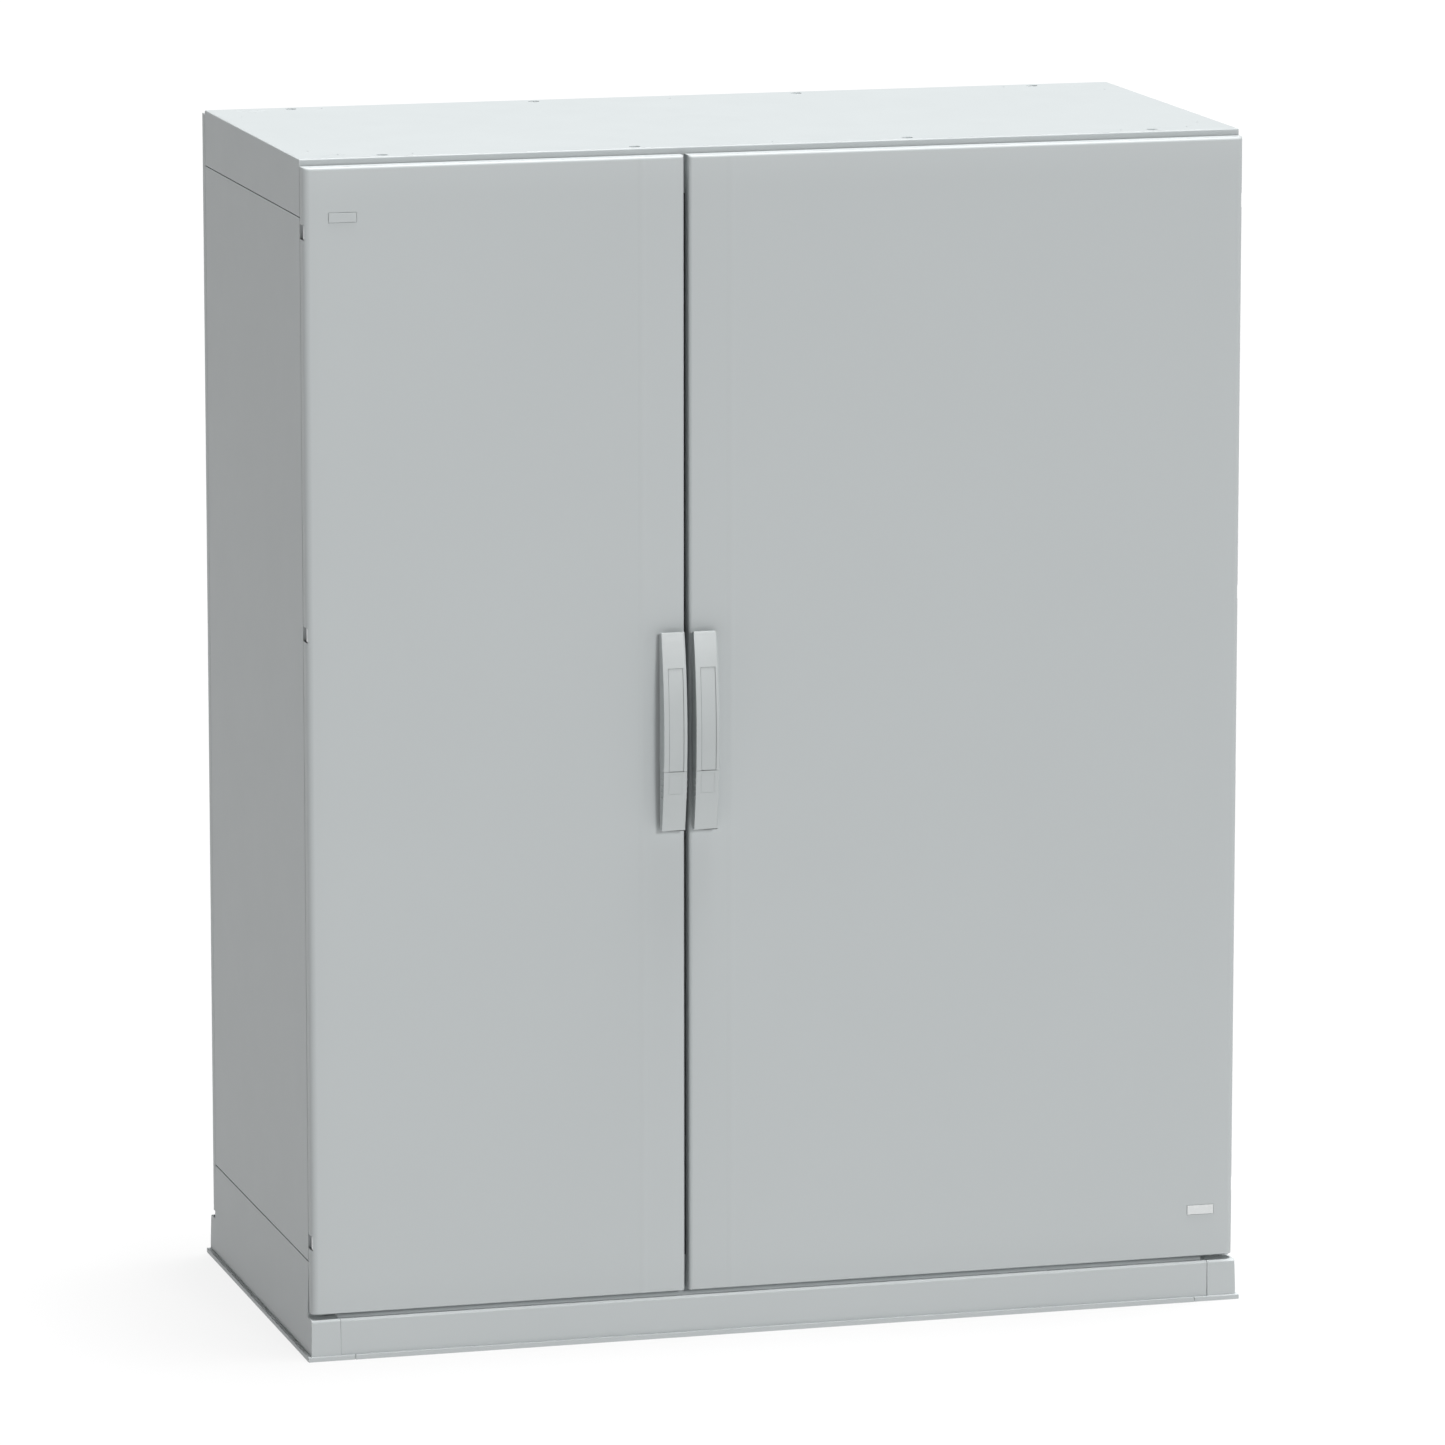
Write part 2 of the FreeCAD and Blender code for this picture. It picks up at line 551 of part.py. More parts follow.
def turning_parts(side, door):
    """The escutcheon, the square hub that turns in it, the drive pinion and the lever's tilt pin."""
    clearance = "shaft_radius + 0.4"
    plate = fuse(block((-13, 13), (-1.2, 0), ("lever_bottom + 5", -18)), block((-8, 8), (-1.2, 0), (-19, 0)),
                 cylinder("y", 10, 1.2, 0, -1.2, 0))
    handle_node(side + "_handle_base", door, cut(plate, cylinder("y", clearance, 10, 0, -5, 0)))
    head = block((-7.5, 7.5), (-10.5, -1.6), ("pin_height - 15", "pin_height + 3.2"))
    shaft = cylinder("y", "shaft_radius", 19.1, 0, -1.6, 0)
    eye = cylinder("x", "pin_radius + 0.06", 40, -20, "-pin_proud", "pin_height")
    handle_node(side + "_handle_hub", door, cut(fuse(head, shaft), eye))
    ring = cut(cylinder("y", "pinion_radius", "rod_depth", 0, "rod_start", 0),
               cylinder("y", "shaft_radius", 30, 0, 0, 0))
    handle_node(side + "_drive_pinion", door, ring)
    node(side + "_tilt_pin", cylinder("x", "pin_radius", "pin_length"), x=door["hub"] + " - pin_length/2",
         y=FACE_Y + " - pin_proud", z="hub_height + pin_height")


def lever(side, door):
    """The bowed lever with its label strip; a tongue below the seam carries the lock cover."""
    half = "lever_width/2"
    upper = common(bow(0), block(("-" + half, half), ("-lever_proud - 1", "-lever_back"),
                                 ("cover_seam", "lever_top")))
    bottom = "lever_bottom + 14"
    tongue = prism("YZ_Plane", [("-lever_back", bottom), ("-lever_back", "cover_seam + 2"),
                                ("0.4 - (%s)" % slope("cover_seam + 2"), "cover_seam + 2"),
                                ("0.4 - (%s)" % slope(bottom), bottom)], "lever_width - 7", midplane=True)
    cavity = block((-8, 8), (-12.8, 0), ("pin_height - 20", "pin_height + 5.5"))
    heel = prism("YZ_Plane", [("-lever_back + 1", "lever_top - 6"), ("-lever_back - 6", "lever_top + 1"),
                              ("1", "lever_top + 1"), ("1", "lever_top - 6")], 60, midplane=True)
    recess = cut(block(("label_left", "label_right"), (-40, -10),
                       ("cover_seam - 1", "lever_top - label_drop + label_gap")), bow(2))
    removed = [cavity, heel, recess, corner_cut(True, 1), corner_cut(True, -1),
               cylinder("x", "pin_radius", "pin_length", "-pin_length/2", "-pin_proud", "pin_height"),
               cylinder("y", "key_radius + 0.1", 40, 0, -40, "cover_seam - key_drop")]
    handle_node(side + "_handle_lever", door, cut(fuse(upper, tongue), *removed))
    strip = common(bow(0.6), block(("label_left + label_gap", "label_right - label_gap"), (-40, -10),
                                   ("cover_seam + 0.3", "lever_top - label_drop")))
    handle_node(side + "_handle_label", door, cut(strip, bow(2)))


def lock_cover(side, door):
    """The sliding cover at the bottom of the lever and the key plug behind it."""
    half = "lever_width/2"
    shell = common(bow(0), block(("-" + half, half), ("-lever_proud - 1", -5),
                                 ("lever_bottom", "cover_seam - 0.4")))
    low, high = "lever_bottom + 7", "cover_seam + 5"
    hollow = prism("YZ_Plane", [("-1", low), ("-1", high), ("-(%s)" % slope(high), high),
                                ("-(%s)" % slope(low), low)], "lever_width - 6.2", midplane=True)
    handle_node(side + "_lock_cover", door, cut(shell, hollow, corner_cut(False, 1), corner_cut(False, -1)))
    slot = block((-0.8, 0.8), (-21, -12), ("cover_seam - key_drop - 4", "cover_seam - key_drop + 4"))
    key = cut(cylinder("y", "key_radius", 16, 0, -19.5, "cover_seam - key_drop"), slot)
    handle_node(side + "_key_plug", door, key)


def lock_case(side, door):
    """The case behind the door face, the two rods that the pinion drives and the guides they run in."""
    case = cut(block((-11.8, 11.8), (4, 20.6), (-35, 35)), block((-10.7, 10.7), (5.4, 19.4), (-40, 40)),
               cylinder("y", "shaft_radius + 0.4", 10, 0, 0, 0))
    handle_node(side + "_lock_case", door, case)
    inner, outer = "pinion_radius + fit", "pinion_radius + fit + rod_width"
    near = mirrored(door["inward"], inner, outer)
    far = mirrored(-door["inward"], inner, outer)
    top, low = "opening_top - 1 - hub_height", "opening_bottom + 1 - hub_height"
    depth = ("rod_start", "rod_start + rod_depth")
    hook = ("rod_start", "door_thick + door_seam + wall + 10")
    handle_node(side + "_upper_rod", door,
                fuse(block(near, depth, (-12, top)), block(near, hook, (top + " - 12", top))))
    handle_node(side + "_lower_rod", door,
                fuse(block(far, depth, (low, 12)), block(far, hook, (low, low + " + 12"))))
    guides = []
    for rod, heights in ((near, (160, 420)), (far, (-220, -620))):
        for z in heights:
            ears = block(("%s - 2" % rod[0], "%s + 2" % rod[1]), ("rod_start - 4", "rod_start + 10"),
                         (z, z + 14))
            way = block(("%s - 0.5" % rod[0], "%s + 0.5" % rod[1]), ("rod_start - 0.5", "rod_start + 8.5"),
                        (z - 1, z + 15))
            guides.append(cut(ears, way))
    handle_node(side + "_rod_guides", door, group(guides))


for side, door in DOORS.items():
    door_panel(side, door)
    stiffener(side, door)
    hinge_leaves(side, door)
    turning_parts(side, door)
    lever(side, door)
    lock_cover(side, door)
    lock_case(side, door)
hinges()
rod_strikers()


# ---------------------------------------------------------------- check and write
doc.recompute()
for thing in doc.Objects:
    if any(word in thing.State for word in ("Invalid", "Error")):
        raise RuntimeError("%s (%s) did not compute: %s" % (thing.Name, thing.Label, thing.State))
os.makedirs("parts", exist_ok=True)
for piece in nodes:
    if piece.Shape.isNull() or not piece.Shape.isValid():
        raise RuntimeError(piece.Label + " has no valid shape")
    piece.Shape.exportStep("parts/%s.step" % piece.Label)
print(len(nodes), "nodes written")
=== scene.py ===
import json
import math

import bmesh
import bpy
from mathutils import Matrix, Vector

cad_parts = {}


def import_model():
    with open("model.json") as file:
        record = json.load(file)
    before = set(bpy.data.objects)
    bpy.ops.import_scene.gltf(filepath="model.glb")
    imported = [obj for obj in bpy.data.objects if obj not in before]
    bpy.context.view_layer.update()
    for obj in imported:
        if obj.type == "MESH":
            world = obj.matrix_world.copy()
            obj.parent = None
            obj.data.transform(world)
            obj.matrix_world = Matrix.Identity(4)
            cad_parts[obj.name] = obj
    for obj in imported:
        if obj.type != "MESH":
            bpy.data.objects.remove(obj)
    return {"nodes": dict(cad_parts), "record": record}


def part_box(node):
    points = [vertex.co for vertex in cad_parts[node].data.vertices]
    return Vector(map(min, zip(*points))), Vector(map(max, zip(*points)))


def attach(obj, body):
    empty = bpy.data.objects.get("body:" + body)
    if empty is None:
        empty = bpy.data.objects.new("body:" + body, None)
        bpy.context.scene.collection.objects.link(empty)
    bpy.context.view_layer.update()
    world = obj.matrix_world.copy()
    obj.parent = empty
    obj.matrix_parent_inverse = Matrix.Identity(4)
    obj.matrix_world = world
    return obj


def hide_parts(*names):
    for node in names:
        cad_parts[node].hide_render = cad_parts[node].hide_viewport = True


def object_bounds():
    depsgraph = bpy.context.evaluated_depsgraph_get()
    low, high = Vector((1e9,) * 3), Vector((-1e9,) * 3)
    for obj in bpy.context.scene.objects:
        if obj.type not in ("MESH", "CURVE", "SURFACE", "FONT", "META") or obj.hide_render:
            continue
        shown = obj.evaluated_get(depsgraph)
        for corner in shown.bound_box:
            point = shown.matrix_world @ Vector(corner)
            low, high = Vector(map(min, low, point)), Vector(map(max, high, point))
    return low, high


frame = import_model()
cad_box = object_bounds()

# Switchboard cabinet: the CAD nodes carry the structure, and the visible shells are rebuilt here with
# their rounded edges, moulded margins and surface texture. Metres, the record's own frame.

MM = 0.001
SIDES = ("left", "right")
BODY_OF = {node: body for body, members in frame["record"]["behaviour"]["bodies"].items() for node in members}
SLOT_OF = {entry["node"]: entry["material_slot"] for entry in frame["record"]["subparts"]}


# ------------------------------------------------------------------ materials
def new_material(name, colour, roughness, metallic=0.0, specular=0.5):
    """A principled material; every uniform value sits on the shader's own socket."""
    material = bpy.data.materials.new(name)
    material.use_nodes = True
    shader = material.node_tree.nodes["Principled BSDF"]
    shader.inputs["Base Color"].default_value = (*colour, 1.0)
    shader.inputs["Roughness"].default_value = roughness
    shader.inputs["Metallic"].default_value = metallic
    shader.inputs["Specular IOR Level"].default_value = specular
    return material, shader


def add(material, kind, **inputs):
    """A node with some of its inputs set; underscores stand for the spaces in an input's name."""
    made = material.node_tree.nodes.new(kind)
    for name, value in inputs.items():
        made.inputs[name.replace("_", " ")].default_value = value
    return made


def link(material, output, target):
    material.node_tree.links.new(output, target)


def surface_detail(material, shader, colour, shade=0.03, rough=(0.4, 0.5), large=3.0, fine=900.0,
                   height=0.00003, stretch=(1, 1, 1)):
    """Slow colour drift, patchy gloss and a fine grain, all in object space."""
    place = add(material, "ShaderNodeTexCoord")
    mapping = add(material, "ShaderNodeMapping", Scale=stretch)
    link(material, place.outputs["Object"], mapping.inputs["Vector"])
    drift = add(material, "ShaderNodeTexNoise", Scale=large, Detail=4.0, Roughness=0.6)
    grain = add(material, "ShaderNodeTexNoise", Scale=fine, Detail=2.0, Roughness=0.5)
    patches = add(material, "ShaderNodeTexNoise", Scale=large * 9.0, Detail=5.0, Roughness=0.65)
    for texture in (drift, grain, patches):
        link(material, mapping.outputs["Vector"], texture.inputs["Vector"])
    ramp = add(material, "ShaderNodeValToRGB")
    ramp.color_ramp.elements[0].position = 0.3
    ramp.color_ramp.elements[1].position = 0.7
    ramp.color_ramp.elements[0].color = (*[c * (1 - shade) for c in colour], 1)
    ramp.color_ramp.elements[1].color = (*[c * (1 + shade) for c in colour], 1)
    link(material, drift.outputs["Fac"], ramp.inputs["Fac"])
    link(material, ramp.outputs["Color"], shader.inputs["Base Color"])
    gloss = add(material, "ShaderNodeMapRange", From_Min=0.3, From_Max=0.7, To_Min=rough[0], To_Max=rough[1])
    link(material, patches.outputs["Fac"], gloss.inputs["Value"])
    link(material, gloss.outputs["Result"], shader.inputs["Roughness"])
    bump = add(material, "ShaderNodeBump", Strength=0.35, Distance=height)
    link(material, grain.outputs["Fac"], bump.inputs["Height"])
    link(material, bump.outputs["Normal"], shader.inputs["Normal"])


def finish_material(name, colour, roughness, metallic=0.0, specular=0.5, **detail):
    material, shader = new_material(name, colour, roughness, metallic, specular)
    surface_detail(material, shader, colour, **detail)
    return material


GREY = (0.492, 0.521, 0.527)
MATERIALS = {
    "moulded_polyester": finish_material("Moulded polyester", GREY, 0.48, specular=0.35, shade=0.008,
                                         rough=(0.47, 0.51), large=2.0, fine=700.0, height=0.000015),
    "handle_coat": finish_material("Handle coating", (0.468, 0.497, 0.500), 0.35, shade=0.02,
                                   rough=(0.32, 0.42), large=20.0, fine=2200.0, height=0.00001),
    "painted_steel": finish_material("Powder coat", (0.50, 0.53, 0.54), 0.5, shade=0.02, rough=(0.4, 0.55),
                                     large=6.0, fine=1400.0),
    "plated_steel": finish_material("Zinc plated steel", (0.56, 0.57, 0.58), 0.35, metallic=1.0, shade=0.10,
                                    rough=(0.25, 0.5), large=12.0, fine=1500.0, stretch=(1, 1, 6)),
    "earth_copper": finish_material("Copper", (0.75, 0.36, 0.20), 0.3, metallic=1.0, shade=0.08,
                                    rough=(0.22, 0.45), large=18.0, fine=1200.0, stretch=(8, 1, 1)),
    "grey_plastic": finish_material("Moulded plastic", (0.60, 0.63, 0.64), 0.4, shade=0.015,
                                    rough=(0.35, 0.45), large=15.0, fine=1800.0),
    "label_plastic": finish_material("Label plastic", (0.70, 0.72, 0.72), 0.25, shade=0.01,
                                     rough=(0.2, 0.3), large=25.0, fine=2500.0, height=0.000008),
    "seal_rubber": finish_material("Foam rubber", (0.03, 0.03, 0.032), 0.8, shade=0.2, rough=(0.7, 0.9),
                                   large=60.0, fine=2500.0, height=0.0001),
    "lock_chrome": finish_material("Lock plating", (0.75, 0.76, 0.77), 0.12, metallic=1.0, shade=0.03,
                                   rough=(0.08, 0.2), large=40.0, fine=3000.0, height=0.000005),
}


# ------------------------------------------------------------------ mesh helpers
def object_from(bm, name, slot, body):
    """Turn a bmesh into a piece with its material, slot and body; frees the bmesh."""
    bmesh.ops.recalc_face_normals(bm, faces=bm.faces)
    mesh = bpy.data.meshes.new(name)
    bm.to_mesh(mesh)
    bm.free()
    mesh.polygons.foreach_set("use_smooth", [True] * len(mesh.polygons))
    mesh.set_sharp_from_angle(angle=math.radians(32))
    piece = bpy.data.objects.new(name, mesh)
    bpy.context.scene.collection.objects.link(piece)
    mesh.materials.append(MATERIALS[slot])
    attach(piece, body)
    return piece


def long_sharp(edge, shortest, angle):
    return (len(edge.link_faces) == 2 and edge.calc_length() > shortest
            and edge.calc_face_angle(0.0) > math.radians(angle))


def flatten_faces(piece):
    """Let the large faces decide the normals, so that they stay flat beside small rounded edges."""
    weighted = piece.modifiers.new("weighted normals", "WEIGHTED_NORMAL")
    weighted.keep_sharp = True
    weighted.weight = 100


def carve(piece, cutters):
    """Subtract closed meshes from a piece for good, and delete them."""
    for cutter in cutters:
        boolean = piece.modifiers.new("carve", "BOOLEAN")
        boolean.operation = "DIFFERENCE"
        boolean.solver = "EXACT"
        boolean.object = cutter
    evaluated = piece.evaluated_get(bpy.context.evaluated_depsgraph_get())
    mesh = bpy.data.meshes.new_from_object(evaluated)
    piece.modifiers.clear()
    piece.data = mesh
    mesh.polygons.foreach_set("use_smooth", [True] * len(mesh.polygons))
    mesh.set_sharp_from_angle(angle=math.radians(32))
    for cutter in cutters:
        bpy.data.objects.remove(cutter)


def cutter_from(bm):
    """A temporary object to carve with; frees the bmesh."""
    bmesh.ops.recalc_face_normals(bm, faces=bm.faces)
    mesh = bpy.data.meshes.new("cutter")
    bm.to_mesh(mesh)
    bm.free()
    cutter = bpy.data.objects.new("cutter", mesh)
    bpy.context.scene.collection.objects.link(cutter)
    return cutter


def box_cutter(low, high):
    bm = bmesh.new()
    add_box(bm, low, high)
    return cutter_from(bm)


def round_cutter(x, y, low, high, radius, sides=16):
    """A closed upright cylinder to carve with."""
    turns = [2 * math.pi * i / sides for i in range(sides)]
    bm = bmesh.new()
    rings = [[bm.verts.new((x + radius * math.cos(turn), y + radius * math.sin(turn), z)) for turn in turns]
             for z in (low, high)]
    bm.faces.new(rings[0])
    bm.faces.new(rings[1])
    for i in range(sides):
        k = (i + 1) % sides
        bm.faces.new((rings[0][i], rings[0][k], rings[1][k], rings[1][i]))
    return cutter_from(bm)


def round_off(bm, width, segments, shortest, angle, where, clamp=True):
    """Bevel the long sharp edges that pass a test."""
    edges = [edge for edge in bm.edges
             if long_sharp(edge, shortest, angle) and (where is None or where(edge))]
    if edges:
        bmesh.ops.bevel(bm, geom=edges, offset=width, offset_type="OFFSET", segments=segments, profile=0.5,
                        affect="EDGES", clamp_overlap=clamp, harden_normals=False)


def refine(node, width, segments=3, shortest=2.5 * MM, angle=25.0, where=None, cutters=(), wide=None):
    """A visible copy of a CAD node with its long sharp edges rounded off.

    wide is a width and a test for edges that are rounded first; without a width the rest stay sharp.
    """
    bm = bmesh.new()
    bm.from_mesh(frame["nodes"][node].data)
    bmesh.ops.remove_doubles(bm, verts=bm.verts, dist=0.02 * MM)
    bmesh.ops.dissolve_limit(bm, angle_limit=math.radians(0.4), verts=bm.verts, edges=bm.edges)
    if wide:
        round_off(bm, wide[0], segments, shortest, angle, wide[1], clamp=False)
    if width:
        round_off(bm, width, segments, shortest, angle, where)
    piece = object_from(bm, "shown_" + node, SLOT_OF[node], BODY_OF[node])
    if cutters:
        carve(piece, cutters)
    flatten_faces(piece)
    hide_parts(node)
    return piece


def add_box(bm, low, high):
    """A closed box between two corners."""
    corners = [bm.verts.new((x, y, z)) for x in (low[0], high[0]) for y in (low[1], high[1])
               for z in (low[2], high[2])]
    for face in ((0, 1, 3, 2), (4, 6, 7, 5), (0, 4, 5, 1), (2, 3, 7, 6), (0, 2, 6, 4), (1, 5, 7, 3)):
        bm.faces.new([corners[i] for i in face])


# ------------------------------------------------------------------ doors
SKIN = 4.0 * MM
HINGE_ROUND = 9.0 * MM
FREE_ROUND = 5.0 * MM
TOP_ROUND = 3.5 * MM
MARGIN = 40.0 * MM
MARGIN_BLEND = 7.5 * MM
MARGIN_LEAN = math.tan(math.radians(0.75))
RIDGE_FROM_EDGE = 56.0 * MM
RIDGE_WIDTH = 14.0 * MM
RIDGE_HEIGHT = 0.5 * MM
HINGE_HEIGHTS = (0.155, 0.950, 1.466)
NOTCH = 20.0 * MM
NOTCH_SLOT = 9.5 * MM
NOTCH_WALL = 1.2 * MM
RIM_WALL = 2.4 * MM
PLATE_HALF = (18.5 * MM, 6.5 * MM)
RECESS_DEPTH = 0.8 * MM
RECESS_WALL_HALF = 0.3 * MM
RIM_BEHIND_ROUND = 1.6 * MM


def smooth_ramp(value, width):
    """Zero below the origin, then a slope of one, joined by a short parabola."""
    if value <= -width / 2:
        return 0.0
    if value >= width / 2:
        return value
    return (value + width / 2) ** 2 / (2 * width)


def edge_lines(edge, inward, radius, steps=7):
    """Grid lines across one rounded edge, with how far each drops behind the front."""
    turns = [math.pi / 2 * i / steps for i in range(steps + 1)]
    return [(edge + inward * radius * (1 - math.cos(turn)), radius * (1 - math.sin(turn))) for turn in turns]


def door(side):
    """A door's visible skin with its rounded edges, and the walls turned back behind it."""
    node = side + "_door_panel"
    low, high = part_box(node)
    inward = 1 if side == "left" else -1
    hinge_x, free_x = (low.x, high.x) if inward > 0 else (high.x, low.x)
    plate_low, plate_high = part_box(side + "_door_plate")
    plate = (plate_low + plate_high) / 2
    ridge_x = free_x - inward * RIDGE_FROM_EDGE
    front, back, inner = low.y, high.y, low.y + HINGE_ROUND + RIM_BEHIND_ROUND

    across = edge_lines(hinge_x, inward, HINGE_ROUND) + edge_lines(free_x, -inward, FREE_ROUND)
    across += [(ridge_x + RIDGE_WIDTH * (i / 10 - 0.5), 0.0) for i in range(11)]
    up = edge_lines(low.z, 1, TOP_ROUND) + edge_lines(high.z, -1, TOP_ROUND)
    up += [(z + MARGIN_BLEND * (i / 6 - 0.5), 0.0)
           for z in (low.z + MARGIN, high.z - MARGIN) for i in range(7)]
    recess = [(plate.x - PLATE_HALF[0], plate.x + PLATE_HALF[0]),
              (plate.z - PLATE_HALF[1], plate.z + PLATE_HALF[1])]
    across += [(x + s * RECESS_WALL_HALF, 0.0) for x in recess[0] for s in (-1, 1)]
    up += [(z + s * RECESS_WALL_HALF, 0.0) for z in recess[1] for s in (-1, 1)]
    across, up = sorted(set(across)), sorted(set(up))

    def depth(x, drop_x, z, drop_z):
        lean = MARGIN_LEAN * (smooth_ramp(z - (high.z - MARGIN), MARGIN_BLEND)
                              + smooth_ramp(low.z + MARGIN - z, MARGIN_BLEND))
        offset = abs(x - ridge_x) / (RIDGE_WIDTH / 2)
        ridge = RIDGE_HEIGHT * (0.5 + 0.5 * math.cos(math.pi * offset)) if offset < 1 else 0.0
        sunk = recess[0][0] < x < recess[0][1] and recess[1][0] < z < recess[1][1]
        rounding = drop_x + drop_z - drop_x * drop_z / HINGE_ROUND
        return front + RIDGE_HEIGHT + lean - ridge + rounding + (RECESS_DEPTH if sunk else 0.0)

    bm = bmesh.new()
    grid = [[bm.verts.new((x, depth(x, dx, z, dz), z)) for z, dz in up] for x, dx in across]
    flat = [[bm.verts.new((x, inner, z)) for z, _ in (up[0], up[-1])] for x, _ in (across[0], across[-1])]
    for i in range(len(across) - 1):
        for j in range(len(up) - 1):
            bm.faces.new((grid[i][j], grid[i + 1][j], grid[i + 1][j + 1], grid[i][j + 1]))
    bottom = [column[0] for column in grid]
    top = [column[-1] for column in grid]
    bm.faces.new(bottom + [flat[1][0], flat[0][0]])
    bm.faces.new(top + [flat[1][1], flat[0][1]])
    bm.faces.new(grid[0] + [flat[0][1], flat[0][0]])
    bm.faces.new(grid[-1] + [flat[1][1], flat[1][0]])
    # the tray's floor lies one skin behind the front, inside the walls
    tray = [[bm.verts.new((x, y, z)) for z in (low.z + SKIN, high.z - SKIN)]
            for y in (inner, front + SKIN) for x in (low.x + SKIN, high.x - SKIN)]
    rim = (flat[0][0], flat[0][1], flat[1][1], flat[1][0])
    mouth = (tray[0][0], tray[0][1], tray[1][1], tray[1][0])
    depth_ring = (tray[2][0], tray[2][1], tray[3][1], tray[3][0])
    for k in range(4):
        n = (k + 1) % 4
        bm.faces.new((rim[k], rim[n], mouth[n], mouth[k]))
        bm.faces.new((mouth[k], mouth[n], depth_ring[n], depth_ring[k]))
    bm.faces.new(depth_ring)
    shell = object_from(bm, "shown_" + node, SLOT_OF[node], BODY_OF[node])
    openings = []
    for z in HINGE_HEIGHTS:
        for near, half in ((-MM, NOTCH_SLOT), (RIM_WALL, NOTCH)):
            x = sorted((hinge_x + inward * near, hinge_x + inward * (SKIN + 0.1 * MM)))
            openings.append(box_cutter((x[0], low.y + SKIN, z - half), (x[1], back + MM, z + half)))
    carve(shell, openings)
    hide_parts(node)

    bm = bmesh.new()
    # walls turned back round the skin; the hinge side is interrupted where the hinge arms pass
    add_box(bm, (low.x, inner, low.z), (high.x, back, low.z + SKIN))
    add_box(bm, (low.x, inner, high.z - SKIN), (high.x, back, high.z))
    free = sorted((free_x, free_x - inward * SKIN))
    add_box(bm, (free[0], inner, low.z + SKIN), (free[1], back, high.z - SKIN))
    hinge = sorted((hinge_x, hinge_x + inward * SKIN))
    stops = [low.z + SKIN]
    for z in HINGE_HEIGHTS:
        stops += [z - NOTCH, z + NOTCH]
    stops.append(high.z - SKIN)
    for start, end in zip(stops[::2], stops[1::2]):
        add_box(bm, (hinge[0], inner, start), (hinge[1], back, end))
    cheek = sorted((hinge_x, hinge_x + inward * NOTCH_WALL))
    for z in HINGE_HEIGHTS:
        add_box(bm, (cheek[0], inner, z - NOTCH), (cheek[1], back, z - NOTCH_SLOT))
        add_box(bm, (cheek[0], inner, z + NOTCH_SLOT), (cheek[1], back, z + NOTCH))
    object_from(bm, side + "_door_walls", SLOT_OF[node], BODY_OF[node])


for side in SIDES:
    door(side)

# ------------------------------------------------------------------ roof, walls, plinth
DIMPLES = [(x, y) for x in (-472, 472) for y in (24, 537)] + [(x, y) for x in (-566, 566) for y in (37, 518)]
DIMPLES += [(x, y) for x in (-595, 595) for y in (82, 474)] + [(2.5, 24), (2.5, 527)]
DIMPLE_DEPTH = 1.2 * MM
DIMPLE_RADIUS = 1.6 * MM
TOP_BAND = 2.0 * MM
PANEL_EDGE = 200.0 * MM
roof_low, roof_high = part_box("roof_panel")
refine("roof_panel", 1.6 * MM, where=lambda e: min(v.co.z for v in e.verts) > cad_box[1].z - TOP_BAND
       and e.calc_length() > PANEL_EDGE,
       cutters=[round_cutter(x * MM, roof_low.y + y * MM, roof_high.z - DIMPLE_DEPTH, roof_high.z + MM,
                             DIMPLE_RADIUS) for x, y in DIMPLES])
refine("rear_panel", 1.0 * MM, shortest=PANEL_EDGE)
for side in SIDES:
    refine("base_side_" + side, 0.9 * MM, shortest=6 * MM)
for end in ("front", "rear"):
    refine("plinth_%s_panel" % end, 0.8 * MM, shortest=6 * MM)

# only the tops of the bolt caps are lowered, so that more of their round seats shows
CAP_SINK = 1.4 * MM
CAP_TOP_BAND = 1.5 * MM
caps = refine("roof_bolt_caps", 0.4 * MM, segments=1, shortest=0.1 * MM, angle=60)
for vertex in caps.data.vertices:
    if vertex.co.z > roof_high.z - CAP_TOP_BAND:
        vertex.co.z -= CAP_SINK

# ------------------------------------------------------------------ handles
BOW_RADIUS = 620.0 * MM
BOW_DROP = 135.0 * MM
NUB_PITCH = 8.0 * MM
NUB_TOP_DROP = 11.0 * MM
NUB = (0.9 * MM, 7.0 * MM, 1.0 * MM)
FRAME_HALF = 9.0 * MM
FRAME_HEIGHT = 27.0 * MM
FRAME_LINE = 0.5 * MM
FRAME_PROUD = 0.35 * MM
FRAME_TOP_DROP = 3.0 * MM
NUB_BEHIND_FRONT = 3.0 * MM
LEVER_ROUND = 1.1 * MM
WIDE_EDGE = 2.6 * MM
SEAM_REACH = 2.2 * MM
END_BAND = 3.0 * MM
BACK_CLEAR = 4.5 * MM
SIDE_BAND = 0.3 * MM
LEVEL_WITHIN = 0.1 * MM
ACROSS_AT_LEAST = 10.0 * MM


def curved_strip(bm, x, z, surface, steps):
    """A thin strip that follows the bowed front between two positions across and two heights."""
    rings = []
    for i in range(steps + 1):
        height = z[0] + (z[1] - z[0]) * i / steps
        front = surface(height)
        rings.append([bm.verts.new((x[a], front + b, height))
                      for a, b in ((0, -FRAME_PROUD), (1, -FRAME_PROUD), (1, MM), (0, MM))])
    bm.faces.new(rings[0])
    bm.faces.new(rings[-1])
    for below, above in zip(rings, rings[1:]):
        for k in range(4):
            n = (k + 1) % 4
            bm.faces.new((below[k], below[n], above[n], above[k]))


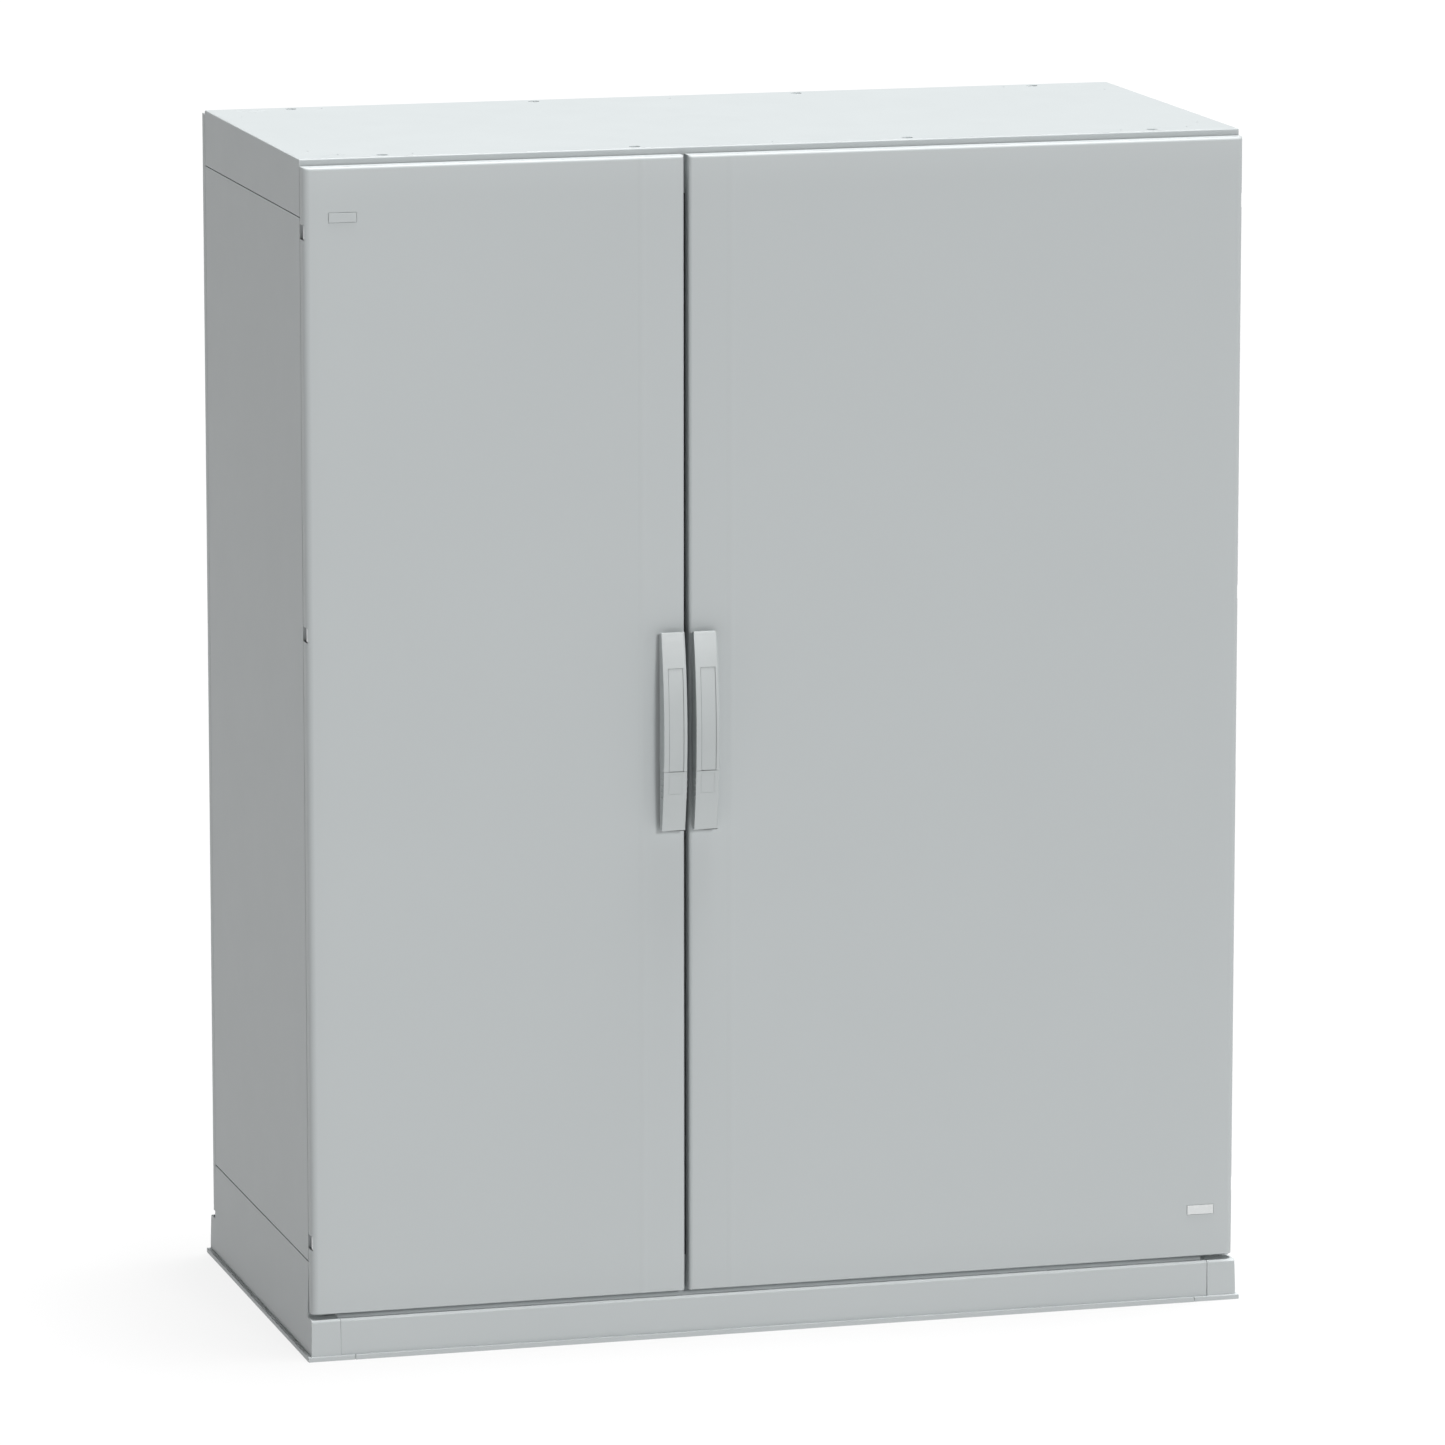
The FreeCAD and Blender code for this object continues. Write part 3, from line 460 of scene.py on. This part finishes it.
def lock_cover_details(side):
    """Grip nubs on both flanks of the lock cover and a plain raised frame on its front."""
    low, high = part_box(side + "_lock_cover")
    lever_low, lever_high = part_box(side + "_handle_lever")
    middle = (low.x + high.x) / 2

    def surface(z):
        return lever_low.y + BOW_RADIUS - math.sqrt(BOW_RADIUS ** 2 - (z - lever_high.z + BOW_DROP) ** 2)

    bm = bmesh.new()
    for i in range(4):
        z = high.z - NUB_TOP_DROP - i * NUB_PITCH
        front = surface(z) + NUB_BEHIND_FRONT
        for edge, out in ((low.x, -1), (high.x, 1)):
            ends = sorted((edge - out * MM, edge + out * NUB[0]))
            add_box(bm, (ends[0], front, z - NUB[2]), (ends[1], front + NUB[1], z + NUB[2]))
    nubs = object_from(bm, side + "_cover_nubs", "handle_coat", side + "_lock_cover")
    soften = nubs.modifiers.new("soften", "BEVEL")
    soften.width = 0.4 * MM
    soften.segments = 2

    bm = bmesh.new()
    top, bottom = high.z - FRAME_TOP_DROP, high.z - FRAME_TOP_DROP - FRAME_HEIGHT
    for z in ((bottom, bottom + FRAME_LINE), (top - FRAME_LINE, top)):
        curved_strip(bm, (middle - FRAME_HALF, middle + FRAME_HALF), z, surface, 1)
    for x in (middle - FRAME_HALF, middle + FRAME_HALF - FRAME_LINE):
        curved_strip(bm, (x, x + FRAME_LINE), (bottom + FRAME_LINE, top - FRAME_LINE), surface, 6)
    object_from(bm, side + "_cover_frame", "handle_coat", side + "_lock_cover")


def away_from(height, reach):
    """A test for edges that don't lie within reach of a height."""
    return lambda edge: any(abs(v.co.z - height) > reach for v in edge.verts)


def wide_edges(node):
    """The front edge on the right of a handle piece, and the level edges at its ends."""
    low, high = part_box(node)
    seam = high.z if "cover" in node else low.z

    def wanted(edge):
        first, second = (v.co for v in edge.verts)
        front = max(first.y, second.y) < high.y - BACK_CLEAR
        right = min(first.x, second.x) > high.x - SIDE_BAND
        level = abs(first.z - second.z) < LEVEL_WITHIN and abs(first.z - seam) > END_BAND
        end = max(abs(first.z - low.z), abs(first.z - high.z)) > high.z - low.z - END_BAND
        return front and (right or (level and end and abs(first.x - second.x) > ACROSS_AT_LEAST))
    return wanted


for side in SIDES:
    lever, cover = side + "_handle_lever", side + "_lock_cover"
    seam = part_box(cover)[1].z
    refine(lever, LEVER_ROUND, shortest=1.2 * MM, angle=30, where=away_from(seam, SEAM_REACH),
           wide=(WIDE_EDGE, wide_edges(lever)))
    # the cover's hollow stays sharp, so that it clears the lever's tongue
    refine(cover, None, shortest=1.2 * MM, angle=30, wide=(WIDE_EDGE, wide_edges(cover)))
    lock_cover_details(side)
    refine(side + "_handle_label", 0.3 * MM, segments=2, shortest=1.0 * MM, angle=40)
    refine(side + "_door_plate", 0.4 * MM, segments=2)


# ------------------------------------------------------------------ every other CAD node keeps its shape
for name, part in frame["nodes"].items():
    part.data.materials.clear()
    part.data.materials.append(MATERIALS[SLOT_OF[name]])


# ------------------------------------------------------------------ stage, light, camera
def floor():
    """A wide pale floor, slightly bright by itself."""
    mesh = bpy.data.meshes.new("floor")
    size = 60.0
    corners = [(-size, -size, 0), (size, -size, 0), (size, size, 0), (-size, size, 0)]
    mesh.from_pydata(corners, [], [(0, 1, 2, 3)])
    plane = bpy.data.objects.new("floor", mesh)
    bpy.context.scene.collection.objects.link(plane)
    material, shader = new_material("Pale floor", (0.10, 0.10, 0.10), 0.9, specular=0.0)
    shader.inputs["Emission Color"].default_value = (1, 1, 1, 1)
    shader.inputs["Emission Strength"].default_value = 0.85
    plane.data.materials.append(material)


def world(horizon, zenith):
    """A studio that is bright round the horizon and dimmer overhead."""
    sky = bpy.data.worlds.new("studio")
    sky.use_nodes = True
    nodes, links = sky.node_tree.nodes, sky.node_tree.links
    place = nodes.new("ShaderNodeTexCoord")
    parts = nodes.new("ShaderNodeSeparateXYZ")
    fade = nodes.new("ShaderNodeMapRange")
    fade.inputs["From Min"].default_value = 0.08
    fade.inputs["From Max"].default_value = 0.35
    fade.inputs["To Min"].default_value = horizon
    fade.inputs["To Max"].default_value = zenith
    links.new(place.outputs["Generated"], parts.inputs["Vector"])
    links.new(parts.outputs["Z"], fade.inputs["Value"])
    links.new(fade.outputs["Result"], nodes["Background"].inputs["Strength"])
    bpy.context.scene.world = sky


def sun(name, towards, strength, softness):
    """A sun that shines from a direction; softness is its angle in degrees."""
    lamp = bpy.data.lights.new(name, "SUN")
    lamp.energy = strength
    lamp.angle = math.radians(softness)
    holder = bpy.data.objects.new(name, lamp)
    holder.rotation_euler = Vector(towards).to_track_quat("Z", "Y").to_euler()
    bpy.context.scene.collection.objects.link(holder)


VIEW_AZIMUTH = 15.476
VIEW_ELEVATION = 10.499
VIEW_FROM = (-3.1382, -11.3491, 2.9379)
FOCAL_LENGTH = 225.25


def camera():
    """The photo's viewing angle: from the left, slightly above, with a long lens."""
    azimuth, elevation = math.radians(VIEW_AZIMUTH), math.radians(VIEW_ELEVATION)
    ahead = Vector((math.sin(azimuth) * math.cos(elevation), math.cos(azimuth) * math.cos(elevation),
                    -math.sin(elevation)))
    lens = bpy.data.cameras.new("camera")
    lens.lens = FOCAL_LENGTH
    lens.sensor_width = 36.0
    lens.clip_end = 200.0
    eye = bpy.data.objects.new("camera", lens)
    eye.location = VIEW_FROM
    eye.rotation_euler = ahead.to_track_quat("-Z", "Y").to_euler()
    bpy.context.scene.collection.objects.link(eye)
    bpy.context.scene.camera = eye


floor()
world(0.67, 0.12)
sun("top", (0.12, 0.02, 1.0), 5.4, 20.0)
sun("key", (0.20, -1.0, 0.36), 1.30, 12.0)
camera()
bpy.context.scene.view_settings.view_transform = "Standard"
